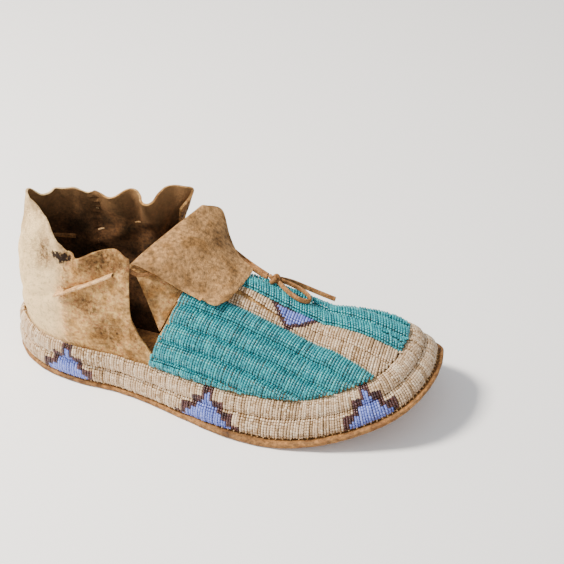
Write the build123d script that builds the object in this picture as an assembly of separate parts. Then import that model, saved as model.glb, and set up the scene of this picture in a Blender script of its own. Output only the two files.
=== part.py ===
from build123d import *
import math
import os

os.makedirs("parts", exist_ok=True)

# Right-foot hard-sole beaded moccasin, modelled as the separate pieces it is sewn from.
# While modelling, X runs from heel to toe, Y towards the inner side of the foot and Z up, with the
# underside of the sole at Z = 0. At the end the origin moves to the bottom centre of the shoe.

# ---- driving dimensions, mm ----
SOLE_THICKNESS = 3.5
TOE_LIFT = 24.0             # how far the rawhide curls up at the toe
TOE_LIFT_START = 165.0      # where along the sole the curl begins
TOE_LIFT_LENGTH = 90.0
HIDE_THICKNESS = 1.6
BEAD_THICKNESS = 1.5
BEAD_EDGE = 1.0             # bead layer thickness at the edges of a lane
SKIN_GAP = 0.5              # room for the sewing thread between a bead lane and the hide
BORDER_LANE = 11.5          # width of one border lane, measured up the hide
VAMP_LANE = 11.5            # width of one turquoise lane
LACE_DIAMETER = 3.0
THREAD_DIAMETER = 0.8
FAN_CENTRE = (188.0, 12.0)  # the toe's cross curves all run to this point of the instep ridge
QUARTER_FRONT = 90.0        # the vamp hide begins here, the quarters end here
SEAM_AIR = 0.3              # air kept between pieces that are only sewn together

# Sole outline, heel round the outer side to the toe and back along the inner side.
OUTLINE = [
    (-8, 6), (-2, -7), (9, -18), (24, -26), (45, -31), (67, -32.5), (89, -37.5), (113, -45.5),
    (136, -53), (157, -57), (178, -57), (204, -51.5), (228, -42), (244, -31.5), (254, -16),
    (258.5, 2), (258.5, 20), (254, 36), (241, 46), (218, 50), (190, 49), (155, 43), (120, 36),
    (85, 32), (55, 34), (28, 37), (8, 33), (-5, 21),
]
RIM_WIDTH = [(-10, 3.0), (60, 3.0), (110, 3.5), (160, 6.0), (230, 6.0), (260, 5.0)]
RIDGE_HEIGHT = [(60, 73), (95, 71), (110, 70), (125, 68), (145, 63.5), (166, 57), (188, 49.5)]
RIDGE_SIDE = [(60, 4), (95, 8), (110, 11), (125, 13), (166, 13), (188, 12)]

# Cross-section shape: height rises as (1 - (1 - r) ** n) ** (1 / m) from the sole to the ridge.
OUTER_N = [(60, 2.0), (165, 2.15), (200, 2.3), (245, 2.9), (260, 3.3)]
OUTER_M = [(60, 2.6), (90, 2.0), (150, 1.12), (200, 1.1), (245, 1.0)]
INNER_N = [(60, 2.0), (165, 2.4), (200, 2.6), (245, 3.1), (260, 3.3)]
INNER_M = [(60, 2.6), (90, 2.2), (150, 1.7), (200, 1.5), (245, 1.1), (260, 1.0)]

# Edges of the cream centre stripe, as distance across the foot at points along it.
STRIPE_OUTER = [(100, -5), (138, -7), (160, -8.5), (184, -10.5), (198, -12.5), (211, -16), (230, -20)]
STRIPE_INNER = [(100, 8), (144, 6.5), (168, 4.5), (192, 4), (208, 3), (224, 1.5), (240, 2)]
# The hide's bare ridge between the stripe's two rows: distance across the foot, and its width.
RIDGE_LINE = [(100, 2), (138, 1.8), (148, -0.5), (161, -3), (185, -3.5), (200, -5), (230, -10)]
RIDGE_BARE = [(100, 3.5), (140, 2.6), (160, 1.4), (172, 0.8)]

# Quarters: ribs from the outer front edge round the heel to the inner front edge. Each rib is
# the outline position it stands on and three points above the border: low, middle and rim.
RIBS = [
    (5.96, (79, -26.5, 50), (77, -24, 70), (77, -19, 92)),
    (5.30, (68, -27, 48), (67, -25.5, 70), (66, -18, 95.5)),
    (4.52, (54, -27.5, 48), (54, -25.5, 68), (56, -20, 94)),
    (3.86, (42, -27, 46), (42, -25, 66), (43, -22, 88)),
    (3.62, (36.5, -26, 46), (36, -24, 68), (37, -19, 91)),
    (2.85, (20, -21, 46), (20, -18.5, 70), (27, -13, 98)),
    (1.70, (5, -12, 46), (4, -10, 72), (14, -4, 106)),
    (0.00, (-4, 6, 46), (-3, 6, 72), (6, 6, 111)),
    (26.85, (1, 22, 46), (1, 20, 72), (8, 16, 104)),
    (26.00, (12, 31, 46), (12, 29, 72), (15, 25, 99)),
    (25.10, (27, 33, 46), (25, 32, 74), (23, 30, 102)),
    (24.60, (38, 33, 46), (36, 32.5, 74), (34, 30.5, 97)),
    (24.10, (52, 32.5, 46), (50, 33, 74), (46, 31, 98)),
    (23.62, (64, 32, 46), (61, 34, 76), (58, 31, 104)),
    (23.40, (72, 32, 46), (70, 32, 76), (68, 25.5, 101)),
    (23.25, (77, 33, 46), (77, 34, 76), (76, 28, 102)),
    (23.12, (80, 34, 46), (82, 39, 76), (85, 42, 105)),
    (22.98, (83, 35, 46), (87, 42, 76), (94, 46.5, 103)),
    (22.90, (85, 35, 48), (88, 37, 72), (91, 33, 96)),
]

# Tongue: its sewn edge under the throat and its crease, outer side to inner side.
TONGUE_SEAM = [(95, -24.5, 46), (100, -17, 57), (104, -6, 64), (105.5, 8, 67), (104, 21, 63.5),
               (100, 29, 55), (95, 31.5, 46)]
TONGUE_CREASE = [(75, -11, 80), (79.5, -2.5, 83), (84, 6, 85.5), (88.5, 15, 87.5), (93, 24, 89.5),
                 (98, 33.5, 91.5), (102, 42, 93)]
TONGUE_SPLIT = 0.62         # the tongue bends freely above this share of its height
# Flap: rows from the crease forward to its free edge, outer side to inner side.
FLAP_ROWS = [
    [(77, -12, 82.5), (84, -0.5, 86.5), (90, 12, 90), (96, 26, 93), (103.5, 42.5, 95.5)],
    [(89, -13, 79), (98, -1, 85), (104, 14, 88), (108, 30, 89.5), (112, 48, 90)],
    [(101, -14, 74), (111, -4, 78.5), (117, 10, 80.5), (119.5, 25, 80.5), (120, 38, 78.5)],
    [(112, -15, 70.5), (122, -9, 71.5), (128, 5, 74), (129.5, 17, 73.8), (128.5, 29, 72.5)],
    [(119, -15.5, 68.5), (128, -16.5, 67.3), (135, -8, 69), (138.5, 6, 70), (139.5, 21, 68.5)],
]
SHEET = 1.3                 # thickness of the tongue leather

# Lace, a hide thong. The collar runs are given near the quarters and are seated on them later.
LACE_OUTER_RUN = [(29, -28, 61), (38, -28, 66), (49, -27, 72), (58, -26, 77), (67, -23, 81.5)]
LACE_HEEL_RUN = [(24, -18.5, 62), (15, -13, 66), (6, -5, 70), (2, 6, 71.5), (5, 17, 70), (12, 25, 68),
                 (23, 30, 67)]
LACE_INNER_RUN = [(30, 33, 68), (40, 33, 72.5), (50, 33, 76.2), (60, 34, 80.7), (67, 31, 83)]
# From the slit in the outer quarter across the tongue, under the flap, to the knot.
LACE_CROSSING = [(67, -16.2, 84.5), (74, -18.4, 83), (80, -16.2, 78.2), (87, -9.5, 76.8), (94, 1, 80.5),
                 (101, 12, 81), (107, 24, 80.5), (112, 36, 78), (119.5, 36.5, 71), (128, 33.5, 66.5),
                 (138, 27.5, 64.8), (148, 22.5, 64)]
LACE_INNER_END = [(91.5, 44.5, 84), (101, 47.5, 78), (112, 44.5, 70.5), (123, 40.5, 65.5), (135, 34, 63),
                  (147, 27, 62.6)]
KNOT_CENTRE = (152.5, 21.6, 65.3)
KNOT_RADIUS = 4.4
LACE_LOOP = [(156.5, 22.8, 63.6), (165, 24, 60.6), (174, 20.5, 58.6), (178, 14, 58.4), (173, 9.5, 60.8),
             (164, 12.5, 63), (156.5, 18.6, 64.8)]
LACE_TAIL = [(153, 25.8, 62.4), (158, 32.5, 57.6), (166, 37, 51.8), (177, 37.5, 48), (187, 35.5, 47)]


def along(x, pairs):
    """Value at x of the straight-line graph through pairs."""
    if x <= pairs[0][0]:
        return pairs[0][1]
    for (x0, y0), (x1, y1) in zip(pairs, pairs[1:]):
        if x <= x1:
            return y0 + (y1 - y0) * (x - x0) / (x1 - x0)
    return pairs[-1][1]


def smooth_step(p0, p1, p2, p3, t):
    """Catmull-Rom point between p1 and p2."""
    return tuple(
        0.5 * (2 * b + (c - a) * t + (2 * a - 5 * b + 4 * c - d) * t * t + (3 * b - a - 3 * c + d) * t ** 3)
        for a, b, c, d in zip(p0, p1, p2, p3)
    )


def outline_point(t):
    """Point of the sole's outline at position t, counted in outline points."""
    i = math.floor(t)
    count = len(OUTLINE)
    ring = [OUTLINE[(i + k) % count] for k in (-1, 0, 1, 2)]
    return smooth_step(*ring, t - i)


def open_curve(points, u):
    """Point at share u of the smooth curve through points."""
    spans = len(points) - 1
    i = min(int(u * spans), spans - 1)
    clamp = [points[min(max(i + k, 0), spans)] for k in (-1, 0, 1, 2)]
    return smooth_step(*clamp, u * spans - i)


def sole_top(x):
    share = min(max((x - TOE_LIFT_START) / TOE_LIFT_LENGTH, 0), 1.3)
    return TOE_LIFT * share ** 2 + SOLE_THICKNESS


def inward(t):
    """Unit vector across the outline towards the foot."""
    x0, y0 = outline_point(t - 0.05)
    x1, y1 = outline_point(t + 0.05)
    size = math.hypot(x1 - x0, y1 - y0)
    return -(y1 - y0) / size, (x1 - x0) / size


def base_point(t):
    """Where the upper meets the sole, one rim's width inside the outline."""
    x, y = outline_point(t)
    nx, ny = inward(t)
    rim = along(x, RIM_WIDTH)
    return x + nx * rim, y + ny * rim


def dome_point(base, r):
    """Point of the vamp on the cross curve over base, r = 0 at the sole and 1 at the ridge."""
    x, y = base
    if x <= FAN_CENTRE[0]:
        ridge = (x, along(x, RIDGE_SIDE), along(x, RIDGE_HEIGHT))
    else:
        ridge = (*FAN_CENTRE, RIDGE_HEIGHT[-1][1])
    outer = y < 5
    n = along(x, OUTER_N if outer else INNER_N)
    m = along(x, OUTER_M if outer else INNER_M)
    bottom = sole_top(x)
    height = (1 - (1 - r) ** n) ** (1 / m)
    return x + (ridge[0] - x) * r, y + (ridge[1] - y) * r, bottom + (ridge[2] - bottom) * height


def dome_at_length(base, length):
    """Point of the cross curve over base at a length measured up the hide."""
    steps = 400
    last = dome_point(base, 0)
    gone = 0.0
    for k in range(1, steps + 1):
        here = dome_point(base, (k / steps) ** 1.5)
        step = math.dist(last, here)
        if gone + step >= length:
            share = (length - gone) / step
            return tuple(a + (b - a) * share for a, b in zip(last, here))
        gone += step
        last = here
    return last


def side_point(t, length):
    """Point of the border at outline position t, length up the hide from the sole."""
    x, y = base_point(t)
    nx, ny = inward(t)
    lean = 0.06 * length
    wall = (x + nx * lean, y + ny * lean, sole_top(x) + length)
    if x < 70:
        return wall
    dome = dome_at_length((x, y), length)
    share = min((x - 70) / 18, 1)
    return tuple(a + (b - a) * share for a, b in zip(wall, dome))


BASE_RING = [base_point(k / 6) for k in range(6 * len(OUTLINE))]


def dome_height(x, y):
    """Height of the vamp's outer face over a point in plan."""
    fan = x > FAN_CENTRE[0]
    cx, cy = FAN_CENTRE if fan else (x, along(x, RIDGE_SIDE))
    dx, dy = (x - cx, y - cy) if fan else (0.0, y - cy)
    reach = math.hypot(dx, dy)
    if reach < 1e-6:
        return along(x, RIDGE_HEIGHT)
    dx, dy = dx / reach, dy / reach
    best = None
    for p, q in zip(BASE_RING, BASE_RING[1:] + BASE_RING[:1]):
        side_p = (p[0] - cx) * dy - (p[1] - cy) * dx
        side_q = (q[0] - cx) * dy - (q[1] - cy) * dx
        if (side_p <= 0) == (side_q <= 0):
            continue
        share = side_p / (side_p - side_q)
        hit = (p[0] + (q[0] - p[0]) * share, p[1] + (q[1] - p[1]) * share)
        far = (hit[0] - cx) * dx + (hit[1] - cy) * dy
        if far > 0 and (best is None or far < best[0]):
            best = (far, hit)
    r = max(1 - reach / best[0], 0)
    return dome_point(best[1], r)[2]


def side_at(x, outer):
    """How far across the foot the upper's base is at x."""
    found = []
    for p, q in zip(BASE_RING, BASE_RING[1:] + BASE_RING[:1]):
        if (p[0] <= x) != (q[0] <= x):
            found.append(p[1] + (q[1] - p[1]) * (x - p[0]) / (q[0] - p[0]))
    return min(found) if outer else max(found)


def unit(v):
    size = math.sqrt(sum(c * c for c in v))
    return tuple(c / size for c in v)


def cross(a, b):
    return a[1] * b[2] - a[2] * b[1], a[2] * b[0] - a[0] * b[2], a[0] * b[1] - a[1] * b[0]


def moved(p, direction, amount):
    return tuple(a + b * amount for a, b in zip(p, direction))


def loft_through(sections):
    """Closed solid ruled through polygons that all have the same number of corners."""
    wires = [Wire(Polyline(*section, close=True).edges()) for section in sections]
    return Solid.make_loft(wires, ruled=True)


def normals_of(rows):
    """Unit normals of a grid of points, one row for each station."""
    result = []
    for i, row in enumerate(rows):
        before = rows[max(i - 1, 0)]
        after = rows[min(i + 1, len(rows) - 1)]
        line = []
        for k in range(len(row)):
            a = tuple(q - p for p, q in zip(before[k], after[k]))
            low = row[max(k - 1, 0)]
            high = row[min(k + 1, len(row) - 1)]
            b = tuple(q - p for p, q in zip(low, high))
            line.append(unit(cross(a, b)))
        result.append(line)
    return result


def triangle_solid(front, back):
    """Closed solid between two matching grids of points, faced with triangles."""
    faces = []

    def add(*corners):
        faces.append(Face(Wire(Polyline(*corners, close=True).edges())))

    rows, columns = len(front), len(front[0])
    for i in range(rows - 1):
        for k in range(columns - 1):
            for grid in (front, back):
                a, b = grid[i][k], grid[i + 1][k]
                c, d = grid[i + 1][k + 1], grid[i][k + 1]
                add(a, b, c)
                add(a, c, d)
    rim = [(i, 0) for i in range(rows)] + [(rows - 1, k) for k in range(1, columns)]
    rim += [(i, columns - 1) for i in range(rows - 2, -1, -1)] + [(0, k) for k in range(columns - 2, 0, -1)]
    for (i, k), (j, m) in zip(rim, rim[1:] + rim[:1]):
        add(front[i][k], front[j][m], back[j][m])
        add(front[i][k], back[j][m], back[i][k])
    return Solid(Shell(faces))


def sheet_solid(grid, thickness, outward=1):
    """Leather of even thickness behind a grid of points on its face."""
    normal = normals_of(grid)
    back = [
        [moved(p, n, -outward * thickness) for p, n in zip(row, line)]
        for row, line in zip(grid, normal)
    ]
    return triangle_solid(grid, back)


parts = {}

# ---- rawhide sole ----
plan = Face(Wire([Spline(*OUTLINE, periodic=True)]))
curl = [(-30, 0), (TOE_LIFT_START, 0)]
curl += [(x, sole_top(x) - SOLE_THICKNESS) for x in (180, 195, 210, 225, 240, 255, 270)]
slab_edge = [Vector(x, 0, z) for x, z in curl]
upper_edge = [Vector(x, 0, z + SOLE_THICKNESS) for x, z in reversed(curl)]
slab = Face(Wire(Polyline(*slab_edge, *upper_edge, close=True).edges()))
slab = extrude(slab, amount=80, dir=(0, 1, 0), both=True)
prism = extrude(plan, amount=60)
parts["sole"] = (prism & slab).solids()[0]

# ---- hide upper: vamp over the front of the foot ----
VAMP_STATIONS = [84, 92, 100, 108, 118, 128, 138, 148, 158, 168, 178, 188, 196, 204, 212, 220, 227, 234,
                 240, 245, 249, 252]
SECTION_POINTS = 22


def vamp_section(x, shrink, drop):
    """Closed section of the dome at x, shrunk all round, its floor dropped below the sole's top."""
    y0 = side_at(x, True) + shrink
    y1 = side_at(x, False) - shrink
    floor = sole_top(x) - drop
    arch = []
    for k in range(SECTION_POINTS + 1):
        share = 0.5 - 0.5 * math.cos(math.pi * k / SECTION_POINTS)
        y = y0 + (y1 - y0) * share
        wide = (y - y0) / (y1 - y0) * (y1 - y0 + 2 * shrink) + y0 - shrink
        height = dome_height(x, min(max(wide, y0 - shrink + 1e-3), y1 + shrink - 1e-3))
        arch.append((x, y, max(height - shrink * 1.15, floor + 0.4)))
    return [(x, y0, floor)] + arch + [(x, y1, floor)]


outer = loft_through([vamp_section(x, 0, -SEAM_AIR) for x in VAMP_STATIONS])
cavity_stations = [80] + VAMP_STATIONS[1:-1]
cavity = loft_through([vamp_section(x, HIDE_THICKNESS, 1.0) for x in cavity_stations])
throat = [(70, -70), (QUARTER_FRONT, -70)]
throat += [(QUARTER_FRONT, -34), (92.5, -29.5), (98, -23.5), (103, -13.5), (106, -4), (107.5, 8),
           (106, 19), (102, 27), (95, 30.5), (QUARTER_FRONT, 32)]
throat += [(QUARTER_FRONT, 70), (70, 70)]
behind_throat = extrude(Face(Wire(Polyline(*throat, close=True).edges())), amount=120)
parts["vamp_hide"] = max((outer - cavity - behind_throat).solids(), key=lambda s: s.volume)

# ---- quarters: the hide round the ankle ----
LEVELS = 7


def rib_points(rib):
    t, low, middle, rim = rib
    return [side_point(t, SEAM_AIR), side_point(t, BORDER_LANE), side_point(t, 2 * BORDER_LANE), low, middle, rim]


def quarter_grid(first, last, per_span, offset=0.0):
    """Grid of points on the quarters between two ribs, front to back round the heel."""
    columns = [rib_points(rib) for rib in RIBS]
    rows = []
    count = (last - first) * per_span
    for s in range(count + 1):
        place = first + offset + (last - first - 2 * offset) * s / count
        i = min(int(place), len(RIBS) - 2)
        share = place - i
        around = [columns[min(max(i + k, 0), len(RIBS) - 1)] for k in (-1, 0, 1, 2)]
        column = [smooth_step(*(c[level] for c in around), share) for level in range(6)]
        rows.append([open_curve(column, v / LEVELS) for v in range(LEVELS + 1)])
    return rows


SEAM_SLACK = 0.02           # share of a rib span left open where two quarters meet
parts["lateral_quarter"] = sheet_solid(quarter_grid(0, 4, 3, SEAM_SLACK), HIDE_THICKNESS, -1)
parts["heel_quarter"] = sheet_solid(quarter_grid(4, 11, 3, SEAM_SLACK), HIDE_THICKNESS, -1)
parts["medial_quarter"] = sheet_solid(quarter_grid(11, 18, 3, SEAM_SLACK), HIDE_THICKNESS, -1)

# ---- beaded border: two lanes sewn all the way round, starting and ending at the heel ----
BORDER_STATIONS = 84
HEEL_GAP = 0.02             # share of an outline step left open where a lane starts and ends
SIDE_GRID_LENGTHS = [1.2, 6.0, 11.0, 11.8, 17.0, 22.4]


def border_rows():
    """Points up the border at every station, from the heel round the outer side and back."""
    rows = []
    for k in range(BORDER_STATIONS + 1):
        t = HEEL_GAP + (len(OUTLINE) - 2 * HEEL_GAP) * k / BORDER_STATIONS
        rows.append([side_point(t, length) for length in SIDE_GRID_LENGTHS])
    return rows


def bead_section(points, normal):
    """Humped section of a bead lane lying on a line of points across it."""
    inner = [moved(p, n, SKIN_GAP) for p, n in zip(points, normal)]
    rise = [BEAD_EDGE] + [BEAD_THICKNESS] * (len(points) - 2) + [BEAD_EDGE]
    outer_face = [moved(p, n, SKIN_GAP + h) for p, n, h in zip(points, normal, rise)]
    return inner + outer_face[::-1]


def lane_solid(rows, normal):
    """Bead lane over a grid of points with three points across it."""
    sections = [bead_section(row, line) for row, line in zip(rows, normal)]
    front = [section[3:][::-1] for section in sections]
    back = [section[:3] for section in sections]
    return triangle_solid(front, back)


border = border_rows()
border_normals = normals_of(border)
for name, cut in (("border_lane_lower", slice(0, 3)), ("border_lane_upper", slice(3, 6))):
    rows = [row[cut] for row in border]
    normal = [line[cut] for line in border_normals]
    parts[name] = lane_solid(rows, normal)

# ---- thread that closes the seam between the upper and the sole ----
seam = []
for k in range(BORDER_STATIONS + 1):
    t = HEEL_GAP + (len(OUTLINE) - 2 * HEEL_GAP) * k / BORDER_STATIONS
    x, y = base_point(t)
    nx, ny = inward(t)
    near, far = SEAM_AIR, SEAM_AIR + THREAD_DIAMETER
    z = sole_top(x - nx * far) + SEAM_AIR
    low_near, low_far = (x - nx * near, y - ny * near), (x - nx * far, y - ny * far)
    seam.append([(*low_near, z), (*low_far, z), (*low_far, z + THREAD_DIAMETER), (*low_near, z + THREAD_DIAMETER)])
parts["sole_seam_thread"] = loft_through(seam)

# ---- beaded vamp: lengthwise lanes, each following the instep from the throat to the border ----
LANE_STEP = 7.0
STRAND_SLANT = 0.37         # the strands lean forward towards the centre stripe
THROAT_X = [(-34, 89), (-29.5, 94), (-23.5, 99.5), (-13.5, 104.5), (-4, 107.5), (8, 109),
            (19, 107.5), (27, 103.5), (30.5, 97), (33, 90)]


def surface(x, y):
    return x, y, dome_height(x, y)


def lane_edges(x):
    """Across-the-foot positions of the lane edges at x, outer side to inner side."""
    outer_edge = along(x, STRIPE_OUTER)
    inner_edge = along(x, STRIPE_INNER)
    edges = [outer_edge]
    for direction, start, out in ((-1, outer_edge, True), (1, inner_edge, False)):
        run = [start]
        y = start
        gone = 0.0
        last = surface(x, y)
        limit = side_at(x, out)
        while len(run) < 5 and (limit - y) * direction > 1.0:
            y += 0.25 * direction
            here = surface(x, y)
            gone += math.dist(last, here)
            last = here
            if gone >= VAMP_LANE:
                run.append(y)
                gone = 0.0
        while len(run) < 5:
            run.append(limit)
        if out:
            edges = run[::-1]
        else:
            edges += run
    return edges


def border_top_distance(x, y):
    """How far a point on the vamp is above the border's upper edge, measured in plan."""
    return min(math.dist((x, y), p[:2]) for p in BORDER_TOP)


BORDER_TOP = [side_point(k / 4, 2 * BORDER_LANE) for k in range(4 * len(OUTLINE))]


def inside_border(x, y, room):
    """True where (x, y) lies inside the border's upper edge with room to spare."""
    crossings = 0
    for p, q in zip(BORDER_TOP, BORDER_TOP[1:] + BORDER_TOP[:1]):
        if (p[1] <= y) != (q[1] <= y):
            if p[0] + (q[0] - p[0]) * (y - p[1]) / (q[1] - p[1]) > x:
                crossings += 1
    return crossings % 2 == 1 and border_top_distance(x, y) > room


EDGE_TABLE = [(x, lane_edges(x)) for x in range(86, 246, 4)]


def edge_at(x, index):
    return along(x, [(place, edges[index]) for place, edges in EDGE_TABLE])


LANE_GAP = 0.8


def vamp_lane(low_edge, high_edge, slant):
    """Rows of three points across a lane, from the throat to the border."""
    rows = []
    x = 88.0
    while x < 246:
        low = low_edge(x) + LANE_GAP / 2
        high = high_edge(x) - LANE_GAP / 2
        middle = (low + high) / 2
        row = [(x + slant * (y - middle), y) for y in (low, middle, high)]
        open_at_throat = all(px > along(y, THROAT_X) for px, y in row)
        if open_at_throat and all(inside_border(px, y, 1.2) for px, y in row):
            rows.append([surface(px, y) for px, y in row])
        x += LANE_STEP / 2 if not rows else LANE_STEP
    return rows


def lane_edge(index):
    return lambda x: edge_at(x, index)


def ridge_edge(side):
    """Edge of a stripe row beside the bare ridge, side -1 outer or 1 inner."""
    return lambda x: along(x, RIDGE_LINE) + side * (along(x, RIDGE_BARE) - LANE_GAP) / 2


LANES = {"stripe_row_lateral": (lane_edge(4), ridge_edge(-1), 0.0),
         "stripe_row_medial": (ridge_edge(1), lane_edge(5), 0.0)}
for number in range(1, 5):
    LANES[f"lateral_lane_{number}"] = (lane_edge(4 - number), lane_edge(5 - number), STRAND_SLANT)
    LANES[f"medial_lane_{number}"] = (lane_edge(4 + number), lane_edge(5 + number), -STRAND_SLANT)
for name, (low_edge, high_edge, slant) in LANES.items():
    rows = vamp_lane(low_edge, high_edge, slant)
    print(name, "x", round(rows[0][1][0]), "to", round(rows[-1][1][0]))
    parts[name] = lane_solid(rows, normals_of(rows))

# ---- tongue: fixed root sewn under the throat, free upper part, folded flap ----
TONGUE_COLUMNS = 12
TONGUE_GAP = 0.012          # share of the height left open at the bend
TONGUE_TOP = 0.97           # the fold itself belongs to the flap


def tongue_point(u, v):
    """Point on the tongue's face, u across it and v from the seam to the crease."""
    low = open_curve(TONGUE_SEAM, u)
    high = open_curve(TONGUE_CREASE, u)
    bow = 2.5 * math.sin(math.pi * v) * math.sin(math.pi * u)
    return tuple(a + (b - a) * v for a, b in zip(low, high))[:2] + (low[2] + (high[2] - low[2]) * v + bow,)


def tongue_rows(v0, v1, count):
    rows = []
    for k in range(TONGUE_COLUMNS + 1):
        u = k / TONGUE_COLUMNS
        rows.append([tongue_point(u, v0 + (v1 - v0) * m / count) for m in range(count + 1)])
    return rows


parts["tongue_root"] = sheet_solid(tongue_rows(0.0, TONGUE_SPLIT - TONGUE_GAP, 4), SHEET, 1)
parts["tongue"] = sheet_solid(tongue_rows(TONGUE_SPLIT + TONGUE_GAP, TONGUE_TOP, 3), SHEET, 1)


def flap_grid(rows, columns):
    """Smooth grid through the flap's rows, across and then from the crease forward."""
    across = [[open_curve(row, k / columns) for row in FLAP_ROWS] for k in range(columns + 1)]
    return [[open_curve(line, m / rows) for m in range(rows + 1)] for line in across]


parts["tongue_flap"] = sheet_solid(flap_grid(10, 10), SHEET, -1)

# ---- lace: a hide thong drawn round the ankle and tied at the inner side ----


def lace_solid(route, name):
    """Round thong along a route of straight runs joined by arcs."""
    points = [Vector(*p) for p in route]
    radii = []
    for a, b, c in zip(points, points[1:], points[2:]):
        turn = math.radians((b - a).get_angle(c - b))
        run = min((b - a).length, (c - b).length)
        radii.append(0.45 * run / math.tan(turn / 2))
    path = FilletPolyline(*points, radius=radii)
    length = sum(edge.length for edge in path.edges())
    start = Plane(origin=points[0], z_dir=points[1] - points[0])
    tube = sweep(start * Circle(LACE_DIAMETER / 2), path=path).solids()[0]
    ideal = length * math.pi * (LACE_DIAMETER / 2) ** 2
    print(name, "length", round(length, 1), "volume ratio", round(tube.volume / ideal, 4),
          "radii", [round(r, 1) for r in radii])
    return tube


QUARTER_ROWS = quarter_grid(0, 18, 8)
QUARTER_INWARD = normals_of(QUARTER_ROWS)


def seated(point, room):
    """The point moved to a distance of room off the quarters' outer face; negative is inside."""
    gap, place, inner = min(
        (math.dist(point, p), p, n)
        for row, line in zip(QUARTER_ROWS, QUARTER_INWARD) for p, n in zip(row, line)
    )
    off = sum((a - b) * c for a, b, c in zip(point, place, inner))
    return moved(point, inner, -room - off)


OUTSIDE = LACE_DIAMETER / 2 + 0.35
INSIDE = -HIDE_THICKNESS - LACE_DIAMETER / 2 - 0.5
LACE_NODES = {
    "lace_outer_run": [seated(p, OUTSIDE) for p in LACE_OUTER_RUN],
    "lace_heel_run": [seated(p, INSIDE) for p in LACE_HEEL_RUN],
    "lace_inner_run": [seated(p, OUTSIDE) for p in LACE_INNER_RUN],
    "lace_crossing": LACE_CROSSING,
    "lace_inner_end": LACE_INNER_END,
    "lace_bow_loop": LACE_LOOP,
    "lace_long_tail": LACE_TAIL,
}
for name, route in LACE_NODES.items():
    parts[name] = lace_solid(route, name)
    print([tuple(round(c, 2) for c in p) for p in route])

# the knot is an overhand turn of the same thong, filled to a ball round the lace ends
knot = Solid.make_sphere(KNOT_RADIUS).moved(Location(KNOT_CENTRE))
for name in LACE_NODES:
    knot = knot - parts[name]
parts["lace_knot"] = max(knot.solids(), key=lambda s: s.volume)

# ---- sinew overcasting of the side seams and the throat seam ----
STITCH_DIAMETER = 0.9


def stitch(a, b):
    """Straight stitch from a to b."""
    axis = Plane(origin=a, z_dir=tuple(q - p for p, q in zip(a, b)))
    return Solid.make_cylinder(STITCH_DIAMETER / 2, math.dist(a, b), plane=axis)


def seam_stitches(rib_index, levels):
    """Overcast stitches across the seam on a rib, standing just off the hide."""
    place = float(rib_index)
    found = []
    for v in levels:
        sides = []
        for shift, rise in ((-0.22, -0.006), (0.22, 0.006)):
            i = min(int(place + shift), len(RIBS) - 2)
            share = place + shift - i
            around = [rib_points(RIBS[min(max(i + k, 0), len(RIBS) - 1)]) for k in (-1, 0, 1, 2)]
            column = [smooth_step(*(c[level] for c in around), share) for level in range(6)]
            sides.append(open_curve(column, v + rise))
        out = -1 if sides[0][1] < 0 else 1
        found.append(stitch(*[(p[0], p[1] + out * 1.1, p[2]) for p in sides]))
    return Compound(found)


parts["lateral_seam_stitches"] = seam_stitches(4, [0.44 + 0.035 * k for k in range(9)])
parts["medial_seam_stitches"] = seam_stitches(11, [0.44 + 0.035 * k for k in range(9)])

# ---- sinew stitches that hold the tongue's lower edge in the throat ----
HIDE_THROAT = [(y, x) for x, y in throat[2:-2]]
THROAT_STITCHES = 10
held = []
for k in range(THROAT_STITCHES):
    x, y, z = open_curve(TONGUE_SEAM, 0.25 + 0.5 * k / (THROAT_STITCHES - 1))
    hide_x = along(y, HIDE_THROAT) + 0.6
    held.append(stitch((x + 0.6, y, z + 2.8), (hide_x, y, dome_height(hide_x, y) + 1.6)))
parts["throat_seam_stitches"] = Compound(held)

# ---- the origin goes to the bottom centre of the shoe without its free lace ends ----
FREE_LACE = ("lace_crossing", "lace_inner_end", "lace_bow_loop", "lace_long_tail", "lace_knot")
whole = Compound([solid for name, solid in parts.items() if name not in FREE_LACE]).bounding_box()
middle = whole.center()
shift = Location((-middle.X, -middle.Y, -whole.min.Z))
print("shift", shift.position)
for name, solid in parts.items():
    export_step(solid.moved(shift), f"parts/{name}.step")
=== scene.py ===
import math
import random

import bpy
import numpy as np
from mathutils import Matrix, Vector, noise


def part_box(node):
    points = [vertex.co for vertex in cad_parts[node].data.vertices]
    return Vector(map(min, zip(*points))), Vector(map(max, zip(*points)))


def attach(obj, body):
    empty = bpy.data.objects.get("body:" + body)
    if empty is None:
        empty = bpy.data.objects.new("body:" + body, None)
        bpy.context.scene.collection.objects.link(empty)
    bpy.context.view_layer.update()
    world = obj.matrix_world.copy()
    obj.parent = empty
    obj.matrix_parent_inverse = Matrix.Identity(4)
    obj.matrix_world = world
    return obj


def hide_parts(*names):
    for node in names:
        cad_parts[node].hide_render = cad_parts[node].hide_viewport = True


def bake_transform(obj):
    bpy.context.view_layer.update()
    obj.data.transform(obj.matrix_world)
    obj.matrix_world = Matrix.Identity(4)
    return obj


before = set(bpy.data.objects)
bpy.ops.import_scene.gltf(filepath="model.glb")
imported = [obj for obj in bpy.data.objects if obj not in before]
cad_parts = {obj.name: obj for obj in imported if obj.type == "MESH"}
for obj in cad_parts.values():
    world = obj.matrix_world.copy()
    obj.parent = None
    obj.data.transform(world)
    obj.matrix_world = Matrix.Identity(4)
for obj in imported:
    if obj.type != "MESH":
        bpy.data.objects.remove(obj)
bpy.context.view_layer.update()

random.seed(7)
rng = np.random.default_rng(7)

# ---- the shoe's own measure ----
# The shoe is drawn in millimetres from the heel (x), across towards the inner side (y) and up from
# the ground (z). The frame has its origin at the shoe's bottom centre, in metres.
HEEL_TO_ORIGIN = -125.268
MIDDLE_TO_ORIGIN = 3.705


def row(x, y, z):
    return Vector(((x + HEEL_TO_ORIGIN) / 1000, (y + MIDDLE_TO_ORIGIN) / 1000, z / 1000))


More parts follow.
